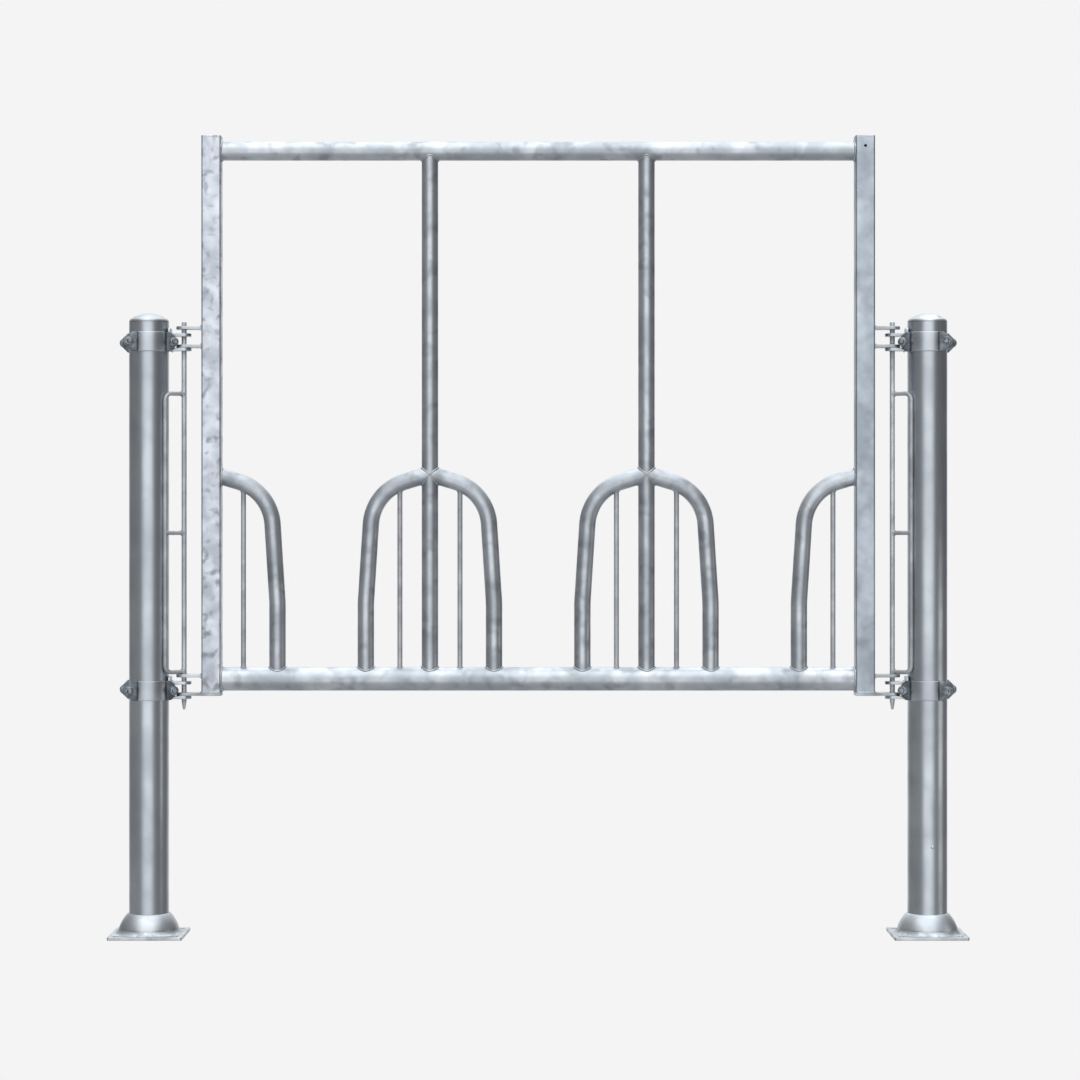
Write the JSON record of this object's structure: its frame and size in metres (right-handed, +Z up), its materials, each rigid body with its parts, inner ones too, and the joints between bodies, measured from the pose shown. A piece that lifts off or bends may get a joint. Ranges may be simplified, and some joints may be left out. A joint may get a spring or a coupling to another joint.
{
  "type": "horse feed barrier",
  "caption": "Galvanised tube feed barrier for horses, with rounded head bays, hung by lugs and locking rods from clamps on round posts with base plates.",
  "frame": {"origin": "on the floor, midway between the two posts", "axes": "+X along the barrier to the right as seen from its front, +Y away from the front, +Z up"},
  "size_m": [2.19, 0.19, 2.054],
  "materials": {
    "post_zinc": "hot-dip galvanised, smooth and fairly bright",
    "tube_zinc": "hot-dip galvanised, mottled",
    "upright_zinc": "hot-dip galvanised, cloudy and light",
    "plate_zinc": "hot-dip galvanised plate",
    "wire_zinc": "hot-dip galvanised bar, matt grey",
    "fastener_zinc": "galvanised fasteners, satin"
  },
  "bodies": {
    "posts": {"left_post": "post_zinc", "left_post_cap": "plate_zinc", "left_base_plate": "plate_zinc", "left_base_collar": "post_zinc", "right_post": "post_zinc", "right_post_cap": "plate_zinc", "right_base_plate": "plate_zinc", "right_base_collar": "post_zinc"},
    "panel": {"left_upright": "upright_zinc", "right_upright": "upright_zinc", "top_rail": "tube_zinc", "bottom_rail": "tube_zinc", "left_divider": "tube_zinc", "right_divider": "tube_zinc", "left_upright_arch": "tube_zinc", "left_divider_left_arch": "tube_zinc", "left_divider_right_arch": "tube_zinc", "right_divider_left_arch": "tube_zinc", "right_divider_right_arch": "tube_zinc", "right_upright_arch": "tube_zinc", "left_upright_bar": "wire_zinc", "left_divider_left_bar": "wire_zinc", "left_divider_right_bar": "wire_zinc", "right_divider_left_bar": "wire_zinc", "right_divider_right_bar": "wire_zinc", "right_upright_bar": "wire_zinc", "left_foot_lug": "plate_zinc", "left_lower_top_lug": "plate_zinc", "left_upper_bottom_lug": "plate_zinc", "left_upper_top_lug": "plate_zinc", "right_foot_lug": "plate_zinc", "right_lower_top_lug": "plate_zinc", "right_upper_bottom_lug": "plate_zinc", "right_upper_top_lug": "plate_zinc", "left_upper_clamp_front_half": "post_zinc", "left_upper_clamp_rear_half": "post_zinc", "left_upper_clamp_inner_bolt": "fastener_zinc", "left_upper_clamp_inner_nut": "fastener_zinc", "left_upper_clamp_outer_bolt": "fastener_zinc", "left_upper_clamp_outer_nut": "fastener_zinc", "left_lower_clamp_front_half": "post_zinc", "left_lower_clamp_rear_half": "post_zinc", "left_lower_clamp_inner_bolt": "fastener_zinc", "left_lower_clamp_inner_nut": "fastener_zinc", "left_lower_clamp_outer_bolt": "fastener_zinc", "left_lower_clamp_outer_nut": "fastener_zinc", "right_upper_clamp_front_half": "post_zinc", "right_upper_clamp_rear_half": "post_zinc", "right_upper_clamp_inner_bolt": "fastener_zinc", "right_upper_clamp_inner_nut": "fastener_zinc", "right_upper_clamp_outer_bolt": "fastener_zinc", "right_upper_clamp_outer_nut": "fastener_zinc", "right_lower_clamp_front_half": "post_zinc", "right_lower_clamp_rear_half": "post_zinc", "right_lower_clamp_inner_bolt": "fastener_zinc", "right_lower_clamp_inner_nut": "fastener_zinc", "right_lower_clamp_outer_bolt": "fastener_zinc", "right_lower_clamp_outer_nut": "fastener_zinc"},
    "left_rod": {"left_locking_rod": "wire_zinc"},
    "right_rod": {"right_locking_rod": "wire_zinc"}
  },
  "joints": [
    {"name": "panel_height", "type": "slide", "parent": "posts", "child": "panel", "axis": [0, 0, 1], "range_m": [-0.5, 0.02]},
    {"name": "left_rod_lift", "type": "slide", "parent": "panel", "child": "left_rod", "axis": [0, 0, 1], "range_m": [0, 0.1]},
    {"name": "right_rod_lift", "type": "slide", "parent": "panel", "child": "right_rod", "axis": [0, 0, 1], "range_m": [0, 0.1]}
  ]
}
